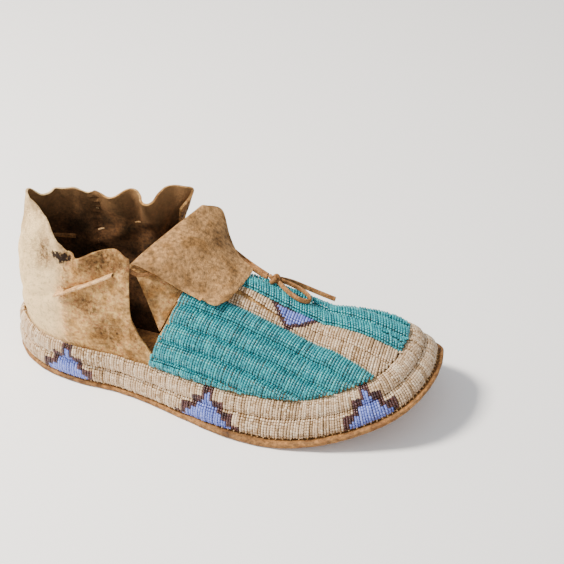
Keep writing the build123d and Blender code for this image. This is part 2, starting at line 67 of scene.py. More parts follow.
# ---- camera ----
# It looks at the shoe's outer side from well above, turned a little towards the toe, through a long
# lens from 1.3 m away, so the far side is barely smaller than the near one.
CAMERA_AWAY = 1.3
MIDDLE_OF_SHOE = row(131, 0, 0)
CAMERA_TURN = math.radians(18)
CAMERA_RISE = math.radians(38)
back = Vector((math.sin(CAMERA_TURN) * math.cos(CAMERA_RISE),
               -math.cos(CAMERA_TURN) * math.cos(CAMERA_RISE), math.sin(CAMERA_RISE)))
right = Vector((math.cos(CAMERA_TURN), math.sin(CAMERA_TURN), 0))
over = back.cross(right)
lens = bpy.data.cameras.new("camera")
lens.lens = 135.3
lens.sensor_width = 36
lens.clip_end = 20
camera = bpy.data.objects.new("camera", lens)
bpy.context.collection.objects.link(camera)
bpy.context.scene.camera = camera
stand = MIDDLE_OF_SHOE + back * CAMERA_AWAY
aim = MIDDLE_OF_SHOE + right * 0.0325 + over * 0.0589
camera.location = stand
camera.rotation_euler = (aim - stand).to_track_quat("-Z", "Y").to_euler()


# ---- lace: a worn hide thong, drawn round the ankle and tied on the inner instep ----
# Its three collar runs sit in the quarters; the crossing, the other end, the loop and the tail are
# free. Each is a flat strip with round edges along the same route as its CAD tube.
def linear(colour):
    """A screen colour such as #c7a680 as the linear colour a shader takes."""
    parts = [int(colour[k:k + 2], 16) / 255 for k in (1, 3, 5)]
    return (*[c / 12.92 if c <= 0.04045 else ((c + 0.055) / 1.055) ** 2.4 for c in parts], 1.0)


def add(tree, kind, inputs=None, **settings):
    """A shader node; each input takes a value or another node's output."""
    made = tree.nodes.new(kind)
    for name, value in settings.items():
        setattr(made, name, value)
    for name, value in (inputs or {}).items():
        if isinstance(value, bpy.types.NodeSocket):
            tree.links.new(value, made.inputs[name])
        else:
            made.inputs[name].default_value = value
    return made


def shades(tree, pattern, stops):
    """Screen colours spread along a pattern that runs from 0 to 1."""
    made = add(tree, "ShaderNodeValToRGB", {"Fac": pattern})
    elements = made.color_ramp.elements
    while len(elements) < len(stops):
        elements.new(0.5)
    for element, (place, colour) in zip(elements, stops):
        element.position = place
        element.color = linear(colour)
    return made.outputs["Color"]


def laid_over(tree, colour, tint, where, strength=1.0, how="MIX"):
    """A colour with a tint laid over it where a pattern is bright, as strongly as asked."""
    amount = add(tree, "ShaderNodeMath", {0: where, 1: strength}, operation="MULTIPLY").outputs[0]
    made = add(tree, "ShaderNodeMix", {0: amount, 6: colour, 7: tint}, data_type="RGBA", blend_type=how)
    return made.outputs[2]


def spots(tree, place, size, detail=4.0, rough=0.55, stretch=(1, 1, 1), low=0.35, high=0.65):
    """Cloudy grey pattern whose patches are about size metres, pulled apart between low and high."""
    scaled = add(tree, "ShaderNodeMapping", {"Vector": place, "Scale": stretch}).outputs["Vector"]
    cloud = add(tree, "ShaderNodeTexNoise", {"Vector": scaled, "Scale": 1 / size, "Detail": detail,
                                             "Roughness": rough})
    spread = add(tree, "ShaderNodeMapRange", {"Value": cloud.outputs["Fac"], "From Min": low,
                                              "From Max": high})
    return spread.outputs["Result"]


def leather(name, light, middle, dark, roughness=0.8, patch=0.02, grain=0.0009, depth=0.00035,
            soil=0.5, extra=None):
    """Hide: mottled in patches, soiled, with fibrous grain and fine creases. Sizes are in metres."""
    material = bpy.data.materials.new(name)
    material.use_nodes = True
    tree = material.node_tree
    surface_node = tree.nodes["Principled BSDF"]
    place = add(tree, "ShaderNodeTexCoord").outputs["Object"]
    mottle = spots(tree, place, patch, detail=6)
    colour = shades(tree, mottle, [(0.0, middle), (0.55, light), (1.0, middle)])
    dirt = spots(tree, place, patch * 2.1, detail=8, rough=0.62, low=0.5, high=0.72)
    colour = laid_over(tree, colour, linear(dark), dirt, soil)
    fleck = spots(tree, place, grain * 2.2, detail=3, low=0.3, high=0.75)
    flecks = shades(tree, fleck, [(0, "#2a1c10"), (1, "#fff0dc")])
    colour = laid_over(tree, colour, flecks, 0.55, how="OVERLAY")
    if extra:
        colour = extra(tree, place, colour)
    tree.links.new(colour, surface_node.inputs["Base Color"])
    rough = add(tree, "ShaderNodeMapRange", {"Value": mottle, "To Min": roughness + 0.08,
                                             "To Max": roughness - 0.08})
    tree.links.new(rough.outputs["Result"], surface_node.inputs["Roughness"])
    fibres = spots(tree, place, grain, detail=4, stretch=(1, 1, 1.6))
    folds = spots(tree, place, grain * 9, detail=3)
    height = add(tree, "ShaderNodeMath", {0: folds, 1: 1.6, 2: fibres}, operation="MULTIPLY_ADD").outputs[0]
    bump = add(tree, "ShaderNodeBump", {"Strength": 0.7, "Distance": depth, "Height": height})
    tree.links.new(bump.outputs["Normal"], surface_node.inputs["Normal"])
    surface_node.inputs["Specular IOR Level"].default_value = 0.2
    return material


THONG_WIDTH = 0.0030
THONG_THICKNESS = 0.0015
COLLAR_THONG_WIDTH = 0.0050
# Oiled thong, cut with a knife and drawn through fingers: smoother and browner than the hide.
thong_leather = leather("thong", "#a0754a", "#7b5533", "#3a2415", roughness=0.68, patch=0.006,
                        grain=0.0005, depth=0.00015, soil=0.6)


def strip(name, route, node, material=thong_leather, tilt=0.0, wide=THONG_WIDTH):
    """A flat thong along a route, in place of its CAD tube."""
    shape = bpy.data.curves.new(name, "CURVE")
    shape.dimensions = "3D"
    shape.bevel_depth = THONG_THICKNESS / 2
    shape.extrude = (wide - THONG_THICKNESS) / 2
    shape.bevel_resolution = 3
    shape.resolution_u = 10
    line = shape.splines.new("NURBS")
    line.points.add(len(route) - 1)
    for point, place in zip(line.points, route):
        point.co = (*row(*place), 1)
        point.tilt = tilt
    line.order_u = 3
    line.use_endpoint_u = True
    piece = bpy.data.objects.new(name, shape)
    bpy.context.collection.objects.link(piece)
    shape.materials.append(material)
    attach(piece, "shoe")
    if node:
        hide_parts(node)
    return piece


OUTER_RUN = [(29.8, -25.2, 60.7), (38.3, -26.9, 65.9), (49, -26.4, 71.9), (58, -25.7, 76.9),
             (67.1, -24.5, 81.9)]
HEEL_RUN = [(24.3, -17.6, 61.9), (14.9, -13.3, 66), (4.8, -5.8, 70.1), (0.7, 5.8, 71.8), (3.7, 17.9, 70.1),
            (11.8, 25.4, 68), (23.1, 28.5, 66.9)]
INNER_RUN = [(30, 34.5, 68.1), (39.9, 34.6, 72.6), (49.9, 34.7, 76.3), (60, 35.6, 80.8), (67.7, 32.9, 83.4)]
CROSSING = [(67, -16.2, 84.5), (74, -18.4, 83), (80, -16.2, 78.2), (87, -9.5, 76.8), (94, 1, 80.5),
            (101, 12, 81), (107, 24, 80.5), (112, 36, 78), (119.5, 36.5, 71), (128, 33.5, 66.5),
            (138, 27.5, 64.8), (148, 22.5, 64)]
INNER_END = [(91.5, 44.5, 84), (101, 47.5, 78), (112, 44.5, 70.5), (123, 40.5, 65.5), (135, 34, 63),
             (147, 27, 62.6)]
LOOP = [(156.5, 22.8, 63.6), (165, 24, 60.6), (174, 20.5, 58.6), (178, 14, 58.4), (173, 9.5, 60.8),
        (164, 12.5, 63), (156.5, 18.6, 64.8)]
TAIL = [(153, 25.8, 62.4), (158, 32.5, 57.6), (166, 37, 51.8), (177, 37.5, 48), (187, 35.5, 47)]
KNOT_CENTRE = (152.5, 21.6, 65.3)

# The outer and inner runs have rubbed against the collar and are as pale as its hide.
pale_thong = leather("pale_thong", "#d8b688", "#b8905f", "#6a4a2a", roughness=0.75, patch=0.006,
                     grain=0.0005, depth=0.00015, soil=0.6)
strip("lace_outer_run_strip", OUTER_RUN, "lace_outer_run", pale_thong,
      tilt=math.radians(90), wide=COLLAR_THONG_WIDTH)
strip("lace_heel_run_strip", HEEL_RUN, "lace_heel_run")
strip("lace_inner_run_strip", INNER_RUN, "lace_inner_run", pale_thong, tilt=math.radians(90))
crossing = strip("lace_crossing_strip", CROSSING, "lace_crossing")
inner_end = strip("lace_inner_end_strip", INNER_END, "lace_inner_end")
bow_loop = strip("lace_bow_loop_strip", LOOP, "lace_bow_loop")
long_tail = strip("lace_long_tail_strip", TAIL, "lace_long_tail")


KNOT_SPREAD = 1.05
KNOT_HEIGHT = 1.7


def knot_piece():
    """An overhand knot: one closed turn of the thong that passes over and under itself."""
    shape = bpy.data.curves.new("lace_knot_turns", "CURVE")
    shape.dimensions = "3D"
    shape.bevel_depth = 0.00095
    shape.extrude = 0.00035
    shape.bevel_resolution = 3
    line = shape.splines.new("NURBS")
    turns = 24
    line.points.add(turns - 1)
    for k, point in enumerate(line.points):
        a = 2 * math.pi * k / turns
        x = (math.sin(a) + 2 * math.sin(2 * a)) * KNOT_SPREAD
        y = (math.cos(a) - 2 * math.cos(2 * a)) * KNOT_SPREAD
        z = -math.sin(3 * a) * KNOT_HEIGHT
        point.co = (*row(KNOT_CENTRE[0] + x, KNOT_CENTRE[1] + y, KNOT_CENTRE[2] - 0.6 + z), 1)
    line.order_u = 3
    line.use_cyclic_u = True
    piece = bpy.data.objects.new("lace_knot_turns", shape)
    bpy.context.collection.objects.link(piece)
    shape.materials.append(thong_leather)
    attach(piece, "shoe")
    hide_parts("lace_knot")
    return piece


knot = knot_piece()

# ---- the shoe's shape ----
# The upper is one surface: cross curves rise from a base line, one rim inside the sole's outline,
# to the ridge of the instep, and fan out over the toe. Hide and beads are both laid on it.
SOLE_THICKNESS = 3.5
TOE_LIFT = 24.0
TOE_LIFT_START = 165.0
TOE_LIFT_LENGTH = 90.0
HIDE_THICKNESS = 1.6
BORDER_LANE = 11.5
VAMP_LANE = 11.5
FAN_CENTRE = (188.0, 12.0)
QUARTER_FRONT = 90.0
OUTLINE = [
    (-8, 6), (-2, -7), (9, -18), (24, -26), (45, -31), (67, -32.5), (89, -37.5), (113, -45.5),
    (136, -53), (157, -57), (178, -57), (204, -51.5), (228, -42), (244, -31.5), (254, -16),
    (258.5, 2), (258.5, 20), (254, 36), (241, 46), (218, 50), (190, 49), (155, 43), (120, 36),
    (85, 32), (55, 34), (28, 37), (8, 33), (-5, 21),
]
RIM_WIDTH = [(-10, 3.0), (60, 3.0), (110, 3.5), (160, 6.0), (230, 6.0), (260, 5.0)]
RIDGE_HEIGHT = [(60, 73), (95, 71), (110, 70), (125, 68), (145, 63.5), (166, 57), (188, 49.5)]
RIDGE_SIDE = [(60, 4), (95, 8), (110, 11), (125, 13), (166, 13), (188, 12)]
# The cross curves are part of a rounded square: N squares their shoulder and M fills their flank.
OUTER_N = [(60, 2.0), (165, 2.15), (200, 2.3), (245, 2.9), (260, 3.3)]
OUTER_M = [(60, 2.6), (90, 2.0), (150, 1.12), (200, 1.1), (245, 1.0)]
INNER_N = [(60, 2.0), (165, 2.4), (200, 2.6), (245, 3.1), (260, 3.3)]
INNER_M = [(60, 2.6), (90, 2.2), (150, 1.7), (200, 1.5), (245, 1.1), (260, 1.0)]


def along(x, pairs):
    """Value at x of the straight-line graph through pairs."""
    return float(np.interp(x, [p[0] for p in pairs], [p[1] for p in pairs]))


def smooth_step(p0, p1, p2, p3, t):
    """Point between p1 and p2 of the smooth curve through all four."""
    a, b, c, d = (np.asarray(p, float) for p in (p0, p1, p2, p3))
    return 0.5 * (2 * b + (c - a) * t + (2 * a - 5 * b + 4 * c - d) * t * t
                  + (3 * b - a - 3 * c + d) * t ** 3)


def outline_point(t):
    """Point of the sole's outline at position t, counted in outline points."""
    i = math.floor(t)
    return smooth_step(*(OUTLINE[(i + k) % len(OUTLINE)] for k in (-1, 0, 1, 2)), t - i)


def open_curve(points, u):
    """Point at share u of the smooth curve through points."""
    spans = len(points) - 1
    i = min(int(u * spans), spans - 1)
    return smooth_step(*(points[min(max(i + k, 0), spans)] for k in (-1, 0, 1, 2)), u * spans - i)


def sole_top(x):
    share = min(max((x - TOE_LIFT_START) / TOE_LIFT_LENGTH, 0), 1.3)
    return TOE_LIFT * share ** 2 + SOLE_THICKNESS


def inward(t):
    """Direction across the outline towards the foot."""
    step = outline_point(t + 0.05) - outline_point(t - 0.05)
    return np.array((-step[1], step[0])) / np.hypot(*step)


def base_point(t):
    """Where the upper meets the sole."""
    place = outline_point(t)
    return place + inward(t) * along(place[0], RIM_WIDTH)


def dome_points(base, r):
    """Points of the cross curve over base, r = 0 at the sole and 1 at the ridge."""
    x, y = base
    bottom = sole_top(x)
    ridge = (x, along(x, RIDGE_SIDE), along(x, RIDGE_HEIGHT))
    if x > FAN_CENTRE[0]:
        ridge = (*FAN_CENTRE, RIDGE_HEIGHT[-1][1])
    n = along(x, OUTER_N if y < 5 else INNER_N)
    m = along(x, OUTER_M if y < 5 else INNER_M)
    r = np.asarray(r, float)
    height = (1 - (1 - r) ** n) ** (1 / m)
    curve = [x + (ridge[0] - x) * r, y + (ridge[1] - y) * r, bottom + (ridge[2] - bottom) * height]
    return np.stack(curve, -1)


def evenly(curve, lengths):
    """Points of a fine polyline at lengths measured along it."""
    gone = np.concatenate([[0], np.cumsum(np.linalg.norm(np.diff(curve, axis=0), axis=1))])
    return np.stack([np.interp(lengths, gone, curve[:, k]) for k in range(curve.shape[1])], 1)


def side_points(t, lengths):
    """Points of the upper at outline position t, at lengths measured up the hide from the sole."""
    lengths = np.asarray(lengths, float)
    base = base_point(t)
    lean = base + np.outer(0.06 * lengths, inward(t))
    wall = np.column_stack([lean, sole_top(base[0]) + lengths])
    if base[0] < 70:
        return wall
    dome = evenly(dome_points(base, (np.arange(401) / 400) ** 1.5), lengths)
    return wall + (dome - wall) * min((base[0] - 70) / 18, 1)


BASE_RING = [base_point(k / 6) for k in range(6 * len(OUTLINE))]
RING_FROM = np.array(BASE_RING)
RING_TO = np.roll(RING_FROM, -1, axis=0)


def dome_height(x, y):
    """Height of the vamp's outer face over a point in plan."""
    centre = np.array(FAN_CENTRE if x > FAN_CENTRE[0] else (x, along(x, RIDGE_SIDE)))
    away = np.array((x, y)) - centre
    reach = np.hypot(*away)
    if reach < 1e-6:
        return along(x, RIDGE_HEIGHT)
    away = away / reach
    off_from = (RING_FROM[:, 0] - centre[0]) * away[1] - (RING_FROM[:, 1] - centre[1]) * away[0]
    off_to = (RING_TO[:, 0] - centre[0]) * away[1] - (RING_TO[:, 1] - centre[1]) * away[0]
    crossed = (off_from <= 0) != (off_to <= 0)
    share = (off_from[crossed] / (off_from[crossed] - off_to[crossed]))[:, None]
    hits = RING_FROM[crossed] + (RING_TO[crossed] - RING_FROM[crossed]) * share
    far = (hits - centre) @ away
    hits, far = hits[far > 0], far[far > 0]
    nearest = far.argmin()
    return float(dome_points(hits[nearest], max(1 - reach / far[nearest], 0))[2])


def side_at(x, outer):
    """How far across the foot the upper's base is at x."""
    crossed = (RING_FROM[:, 0] <= x) != (RING_TO[:, 0] <= x)
    a, b = RING_FROM[crossed], RING_TO[crossed]
    found = a[:, 1] + (b[:, 1] - a[:, 1]) * (x - a[:, 0]) / (b[:, 0] - a[:, 0])
    return found.min() if outer else found.max()


def new_piece(name, vertices, faces, materials, body="shoe", nodes=(), kinds=None):
    """A mesh from points in the shoe's measure, on a body and in place of its CAD nodes."""
    shape = bpy.data.meshes.new(name)
    places = (np.asarray(vertices, float) + (HEEL_TO_ORIGIN, MIDDLE_TO_ORIGIN, 0)) / 1000
    shape.from_pydata(places.tolist(), [], [tuple(int(v) for v in face) for face in faces])
    for material in materials:
        shape.materials.append(material)
    if kinds is not None:
        shape.polygons.foreach_set("material_index", np.asarray(kinds, np.int32))
    shape.polygons.foreach_set("use_smooth", np.full(len(shape.polygons), True))
    shape.update()
    piece = bpy.data.objects.new(name, shape)
    bpy.context.collection.objects.link(piece)
    if body:
        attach(piece, body)
    if nodes:
        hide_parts(*nodes)
    return piece


def grid_faces(rows, columns, closed=False):
    """Four-cornered faces of a grid of points stored row by row."""
    faces = []
    for i in range(rows - 1 + closed):
        for k in range(columns - 1):
            a, b = i * columns + k, (i + 1) % rows * columns + k
            faces.append((a, b, b + 1, a + 1))
    return faces


def thicken(piece, depth, inside_out=False):
    """Turn a one-sided surface into hide of a real thickness; its inner face takes the next material."""
    solid = piece.modifiers.new("thickness", "SOLIDIFY")
    solid.thickness = depth / 1000
    solid.offset = 1 if inside_out else -1
    solid.material_offset = 1 if len(piece.data.materials) > 1 else 0
    solid.material_offset_rim = 0
    soften = piece.modifiers.new("soft edge", "BEVEL")
    soften.width = depth / 4000
    soften.segments = 2
    soften.limit_method = "ANGLE"
    soften.angle_limit = math.radians(50)
    with bpy.context.temp_override(object=piece, active_object=piece, selected_objects=[piece]):
        bpy.ops.object.modifier_apply(modifier="thickness")
        bpy.ops.object.modifier_apply(modifier="soft edge")


def wrinkle(p, size, amount, seed=0.0):
    """Smooth random push at a point, for hide that is never quite even."""
    return noise.noise(Vector((p[0] / size + seed, p[1] / size - seed, p[2] / size))) * amount


# ---- sole: one stiff piece of rawhide, curled up at the toe ----
# Hide scraped bare, dried hard and cut to the foot's outline; the upper is sewn to it along the rim.
# Rings of points run round the outline: under the sole, round its cut edge and in over its top.
def rawhide_edge(tree, place, colour):
    """Short upright streaks, where the knife and the ground have frayed the rawhide."""
    streak = spots(tree, place, 0.0016, detail=5, stretch=(0.15, 0.15, 2.5), low=0.3, high=0.7)
    streaks = shades(tree, streak, [(0, "#5f3d1e"), (1, "#e9c893")])
    return laid_over(tree, colour, streaks, 0.35, how="OVERLAY")


# Hard and dense, so a little glossier than the upper, and grimy from the ground.
rawhide = leather("rawhide", "#9a784e", "#775838", "#35271a", roughness=0.62, patch=0.009, grain=0.0008,
                  depth=0.0002, soil=0.7, extra=rawhide_edge)
EDGE_PROFILE = [(7.0, 0.0), (2.2, 0.0), (0.7, 0.25), (0.0, 0.95), (0.0, 2.5), (0.55, 3.25), (1.8, 3.5),
                (9.0, 3.5)]
AROUND = 560


def sole_piece():
    shift = np.array([wrinkle((*outline_point(k * 28 / AROUND), 0), 7, 0.5) for k in range(AROUND)])
    centre_line = [(8, 5), (60, 2), (120, -3), (170, -2), (215, 4)]
    rings = []
    for k in range(AROUND):
        t = k * len(OUTLINE) / AROUND
        place = outline_point(t)
        heart_x = min(max(place[0], 8), 215)
        heart = np.array((heart_x, along(heart_x, centre_line)))
        column = []
        for share in (0.0, 0.35, 0.7):
            near = heart + (place + inward(t) * 7 - heart) * share
            column.append((*near, sole_top(near[0]) - SOLE_THICKNESS))
        for inset, height in EDGE_PROFILE:
            near = place + inward(t) * (inset + shift[k] * 0.6 * (inset < 3) + 0.3)
            uneven = wrinkle((*near, 5), 9, 0.5, 3.0) if height > 2 and inset < 7 else 0.0
            column.append((*near, sole_top(near[0]) - SOLE_THICKNESS + height + uneven))
        for share in (0.6, 0.0):
            near = heart + (place + inward(t) * 9 - heart) * share
            column.append((*near, sole_top(near[0])))
        rings.append(column)
    points = np.array(rings).reshape(-1, 3)
    faces = [f[::-1] for f in grid_faces(AROUND, len(rings[0]), closed=True)]
    new_piece("rawhide_sole", points, faces, [rawhide], nodes=["sole"])


sole_piece()

# ---- hide upper: the vamp over the front of the foot ----
# Soft smoked hide, napped and pale, laid in two halves that meet along the bare ridge of the instep.
# It stops at the throat, where the tongue is sewn in.
def close_to(tree, place, centre, reach):
    """1 at a place on the shoe, fading to 0 at the reach in mm along x, y and z."""
    near = add(tree, "ShaderNodeMapping", {"Vector": place, "Location": -row(*centre)}).outputs["Vector"]
    away = add(tree, "ShaderNodeVectorMath", {0: near, 1: [1000 / r for r in reach]}, operation="MULTIPLY")
    away = add(tree, "ShaderNodeVectorMath", {0: away.outputs[0]}, operation="LENGTH").outputs["Value"]
    fade = add(tree, "ShaderNodeMapRange", {"Value": away, "From Min": 1.0, "From Max": 0.3})
    return fade.outputs["Result"]


# The middles of the stains and how far each reaches. The one at (60, -22, 88), above the outer lace run, is
# partly painted shadow: the dark shadow line above the lace strap.
STAINS_AND_SHADOW = [((64, -28, 40), (17, 20, 17)), ((50, -26, 58), (15, 20, 10)), ((60, -22, 88), (32, 20, 13)),
          ((82, -20, 40), (12, 20, 22)), ((20, -18, 84), (12, 16, 14)), ((60, 32, 60), (26, 20, 24)),
          ((8, 22, 60), (16, 18, 20)), ((90, 40, 90), (16, 20, 18)), ((94, 28, 52), (15, 14, 18))]


WORN_HOLE = ((34, -17, 86), (11, 20, 5.4))


def hide_soil(tree, place, colour):
    """Smoke, handling and wear: brown stains full of dark specks; painted light at the heel end, a dark rim
    that is partly painted shade, painted shadow above the outer lace run, and a hole near a seam whose dark
    opening is painted shade.
    """
    parts = add(tree, "ShaderNodeSeparateXYZ", {"Vector": place})
    # Painted light: the heel end of the hide is painted paler and warmer, as if lit from the heel side.
    heel = add(tree, "ShaderNodeMapRange", {"Value": parts.outputs["X"], "From Min": -0.084,
                                            "From Max": -0.1}).outputs["Result"]
    colour = laid_over(tree, colour, linear("#ffe0aa"), heel, 0.8)
    # Darker in blotches towards the rim: handling grime, and painted shade where the collar curls inward over
    # it.
    high_up = add(tree, "ShaderNodeMapRange", {"Value": parts.outputs["Z"], "From Min": 0.064,
                                               "From Max": 0.1}).outputs["Result"]
    blotch = spots(tree, place, 0.011, detail=7, rough=0.65, stretch=(1, 1, 0.7), low=0.4, high=0.62)
    rim_grime_and_shade = add(tree, "ShaderNodeMath", {0: high_up, 1: blotch}, operation="MULTIPLY").outputs[0]
    colour = laid_over(tree, colour, linear("#6e4c2c"), rim_grime_and_shade, 0.6)
    # Painted shadow: the patch at (60, -22, 88) above the outer lace run stands in for the dark shadow line
    # above the lace strap; the rest are real marks.
    stain_and_shadow = close_to(tree, place, *STAINS_AND_SHADOW[0])
    for dark_patch in STAINS_AND_SHADOW[1:]:
        here = close_to(tree, place, *dark_patch)
        stain_and_shadow = add(tree, "ShaderNodeMath", {0: stain_and_shadow, 1: here}, operation="MAXIMUM").outputs[0]
    cloudy = spots(tree, place, 0.006, detail=8, rough=0.7, low=0.32, high=0.6)
    cloudy = add(tree, "ShaderNodeMath", {0: stain_and_shadow, 1: cloudy}, operation="MULTIPLY").outputs[0]
    colour = laid_over(tree, colour, linear("#704c28"), cloudy, 0.9)
    specks = spots(tree, place, 0.0026, detail=6, rough=0.75, low=0.47, high=0.6)
    specks = add(tree, "ShaderNodeMath", {0: stain_and_shadow, 1: specks}, operation="MULTIPLY").outputs[0]
    colour = laid_over(tree, colour, linear("#33220f"), specks, 0.85)
    dust = spots(tree, place, 0.0021, detail=5, rough=0.7, low=0.52, high=0.68)
    colour = laid_over(tree, colour, linear("#6a4826"), dust, 0.45)
    scuff = spots(tree, place, 0.0035, detail=9, rough=0.75, low=0.55, high=0.7)
    colour = laid_over(tree, colour, linear("#5a3d23"), scuff, 0.5)
    # Painted shade: the hole is not cut through; its dark opening is painted onto the hide.
    frayed = spots(tree, place, 0.0022, detail=4, low=0.3, high=0.7)
    torn = add(tree, "ShaderNodeMath", {0: frayed, 1: -0.75, 2: close_to(tree, place, *WORN_HOLE)},
               operation="MULTIPLY_ADD").outputs[0]
    hole = add(tree, "ShaderNodeMapRange", {"Value": torn, "From Min": 0.0, "From Max": 0.35})
    return laid_over(tree, colour, linear("#24160b"), hole.outputs["Result"])


def lining_painted_light(tree, place, colour):
    """Painted light and shade on the lining: paler near the rim, where light reaches in and where it has been
    handled, and dark below, in the shade inside the shoe.
    """
    height = add(tree, "ShaderNodeSeparateXYZ", {"Vector": place}).outputs["Z"]
    rim = add(tree, "ShaderNodeMapRange", {"Value": height, "From Min": 0.078, "From Max": 0.104})
    return laid_over(tree, colour, linear("#8f6c46"), rim.outputs["Result"], 0.65)


# Smoked buckskin, brushed: no shine, a cloudy tan, and dark specks where it has been handled, with painted
# light at the heel and painted shade towards the rim, above the outer lace run and in a hole.
hide_outside = leather("smoked_hide", "#dcb67b", "#b28850", "#6d4b29", roughness=0.88, patch=0.011, soil=0.95,
                       depth=0.0006, extra=hide_soil)
# The flesh side, darkened by wear and seen in shade.
hide_inside = leather("hide_inside", "#5f4229", "#42301c", "#20140a", roughness=0.92, patch=0.02, soil=0.6,
                      extra=lining_painted_light)
THROAT = [(-34, 90), (-29.5, 92.5), (-23.5, 98), (-13.5, 103), (-4, 106), (8, 107.5), (19, 106), (27, 102),
          (30.5, 95), (32, 90)]
VAMP_UP = 36


def throat_share(base):
    """How far up its cross curve the hide goes before it is cut away for the throat."""
    x = base[0]
    if x >= 107.5:
        return 1.0
    ridge = along(x, RIDGE_SIDE)
    for r in np.linspace(0, 1, 200):
        if x < along(base[1] + (ridge - base[1]) * r, THROAT):
            return max(r - 0.005, 0.02)
    return 1.0


def vamp_piece():
    lane_x = np.arange(QUARTER_FRONT + 0.3, FAN_CENTRE[0] + 0.1, 1.4)
    ring = [base_point(k / 20) for k in range(20 * len(OUTLINE))]
    fan = [p for p in ring if p[0] > FAN_CENTRE[0]]
    outer = [np.array((x, side_at(x, True))) for x in lane_x]
    inner = [np.array((x, side_at(x, False))) for x in lane_x]
    bases = outer + fan + inner[::-1]
    points = []
    for base in bases:
        for p in dome_points(base, np.linspace(0, throat_share(base), VAMP_UP + 1)):
            points.append((p[0], p[1], p[2] + wrinkle(p, 14, 0.35)))
    faces = grid_faces(len(bases), VAMP_UP + 1)
    piece = new_piece("vamp_hide_skin", points, faces, [hide_outside, hide_inside], nodes=["vamp_hide"])
    thicken(piece, HIDE_THICKNESS)


vamp_piece()

# ---- quarters: three pieces of hide round the ankle ----
# The same soft hide, overcast together at two side seams that pucker, and cut to a wavy rim.
# Each rib is the outline position it stands on and its low, middle and rim points.
RIBS = [
    (6.3, (79.5, -26.5, 50), (77, -24, 70), (77, -19, 92)),
    (5.30, (68, -27, 48), (67, -25.5, 70), (66, -18, 95.5)),
    (4.52, (54, -27.5, 48), (54, -25.5, 68), (56, -20, 94)),
    (3.86, (42, -27, 46), (42, -25, 66), (43, -22, 88)),
    (3.62, (36.5, -26, 46), (36, -24, 68), (37, -19, 91)),
    (2.85, (20, -21, 46), (20, -18.5, 70), (27, -13, 98)),
    (1.70, (5, -12, 46), (4, -10, 72), (14, -4, 106)),
    (0.00, (-4, 6, 46), (-3, 6, 72), (6, 6, 111)),
    (26.85, (1, 22, 46), (1, 20, 72), (8, 16, 104)),
    (26.00, (12, 31, 46), (12, 29, 72), (15, 25, 99)),
    (25.10, (27, 33, 46), (25, 32, 74), (23, 30, 102)),
    (24.60, (38, 33, 46), (36, 32.5, 74), (34, 30.5, 97)),
    (24.10, (52, 32.5, 46), (50, 33, 74), (46, 31, 98)),
    (23.62, (64, 32, 46), (61, 34, 76), (58, 31, 104)),
    (23.40, (72, 32, 46), (70, 32, 76), (68, 25.5, 101)),
    (23.25, (77, 33, 46), (77, 34, 76), (76, 28, 102)),
    (23.12, (80, 34, 46), (82, 39, 76), (85, 42, 105)),
    (22.98, (83, 35, 46), (87, 42, 76), (94, 46.5, 103)),
    (22.90, (85, 35, 48), (88, 37, 72), (91, 33, 96)),
]
LATERAL_SEAM = 4
MEDIAL_SEAM = 11
RIB_COLUMNS = [[*side_points(t, (0.3, BORDER_LANE, 2 * BORDER_LANE)), low, middle, rim]
               for t, low, middle, rim in RIBS]


def quarter_point(place, v):
    """Point on the quarters' face at a place counted in ribs, v from the sole to the rim."""
    i = min(int(place), len(RIBS) - 2)
    around = [RIB_COLUMNS[min(max(i + k, 0), len(RIBS) - 1)] for k in (-1, 0, 1, 2)]
    column = [smooth_step(*(c[level] for c in around), place - i) for level in range(6)]
    return open_curve(column, v)


COLUMNS_PER_RIB = 12
QUARTER_UP = 64
SEAM_WIDTH = 2.6
STITCH_PITCH = 3.7
LACE_LOW_END = (29.8, 60.7)
LACE_SLOPE = 0.57
GATHER_WIDTH = 3.5


def quarter_piece(name, first, last, node):
    across = int((last - first) * COLUMNS_PER_RIB)
    up = QUARTER_UP
    flat = []
    for s in range(across + 1):
        place = first + (last - first) * s / across
        flat.append([quarter_point(place, v / up) for v in range(up + 1)])
    flat = np.array(flat)
    along_rim = np.gradient(flat, axis=0)
    upward = np.gradient(flat, axis=1)
    out = -np.cross(along_rim, upward)
    out /= np.linalg.norm(out, axis=2, keepdims=True)
    points = []
    for s in range(across + 1):
        place = first + (last - first) * s / across
        seam = min(abs(place - LATERAL_SEAM), abs(place - MEDIAL_SEAM)) * 7.0
        for v in range(up + 1):
            p = flat[s, v]
            free = min(max((p[2] - 27) / 8, 0), 1)
            stitched = 0.7 + 0.75 * math.sin(p[2] * 2 * math.pi / STITCH_PITCH)
            pucker = math.exp(-(seam / SEAM_WIDTH) ** 2) * stitched * free
            over_lace = p[2] - LACE_LOW_END[1] - (p[0] - LACE_LOW_END[0]) * LACE_SLOPE
            gather = 1 - math.exp(-(over_lace / GATHER_WIDTH) ** 2)
            calm = min((18 - place) / 1.8, 1)
            soft = (wrinkle(p, 15, 1.7) + wrinkle(p, 6, 0.7, 5.0) + 0.8 * gather) * free * calm
            top = min(max((v / up - 0.7) / 0.3, 0), 1) ** 2
            rim = wrinkle((p[0], p[1], 0), 9, 1.4, 9.0) * top
            flare = (1.3 + 2.4 * math.sin(place * 2.9 + 0.6)) * top * calm
            points.append(p + out[s, v] * (pucker + soft + flare) + np.array((0, 0, rim)))
    faces = [f[::-1] for f in grid_faces(across + 1, up + 1)]
    piece = new_piece(name, points, faces, [hide_outside, hide_inside], nodes=[node])
    thicken(piece, HIDE_THICKNESS)


quarter_piece("lateral_quarter_hide", 0, 4, "lateral_quarter")
quarter_piece("heel_quarter_hide", 4, 11, "heel_quarter")
quarter_piece("medial_quarter_hide", 11, 18, "medial_quarter")

